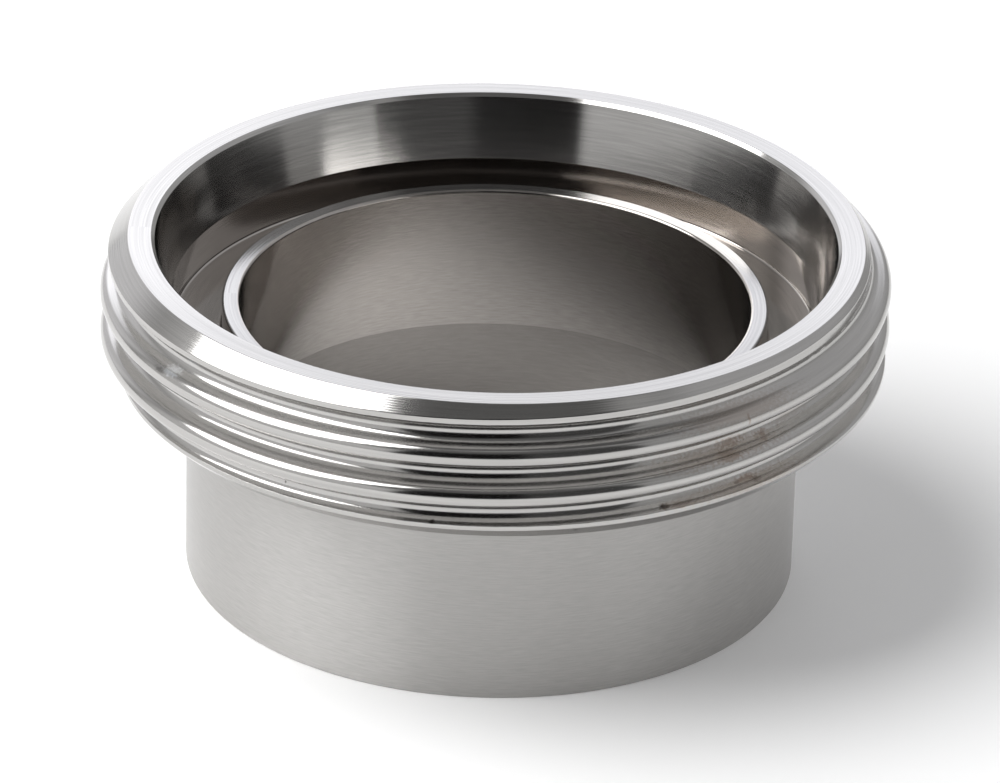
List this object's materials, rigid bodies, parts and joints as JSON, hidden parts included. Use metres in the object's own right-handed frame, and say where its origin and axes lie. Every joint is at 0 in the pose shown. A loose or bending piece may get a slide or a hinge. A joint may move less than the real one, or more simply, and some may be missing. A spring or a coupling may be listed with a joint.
{
  "type": "dairy male union",
  "caption": "Threaded male half of a screwed dairy pipe union, turned in one piece: plain tube spigot below, round-thread collar above, with a lip, a seal groove and a cone seat inside",
  "frame": {"origin": "middle of the spigot's end face, on the axis, at the lowest point of the part", "axes": "+Z runs along the axis from the spigot's end to the threaded end; the part stands on the spigot's end face; +X and +Y are square to it, and the first thread crest seen from -Y sets the turn"},
  "size_m": [0.078, 0.078, 0.035],
  "materials": {
    "turned_steel": "fine turned stainless steel, bright on the faces, satin on the spigot"
  },
  "bodies": {
    "root": {"male_union": "turned_steel"}
  },
  "joints": []
}
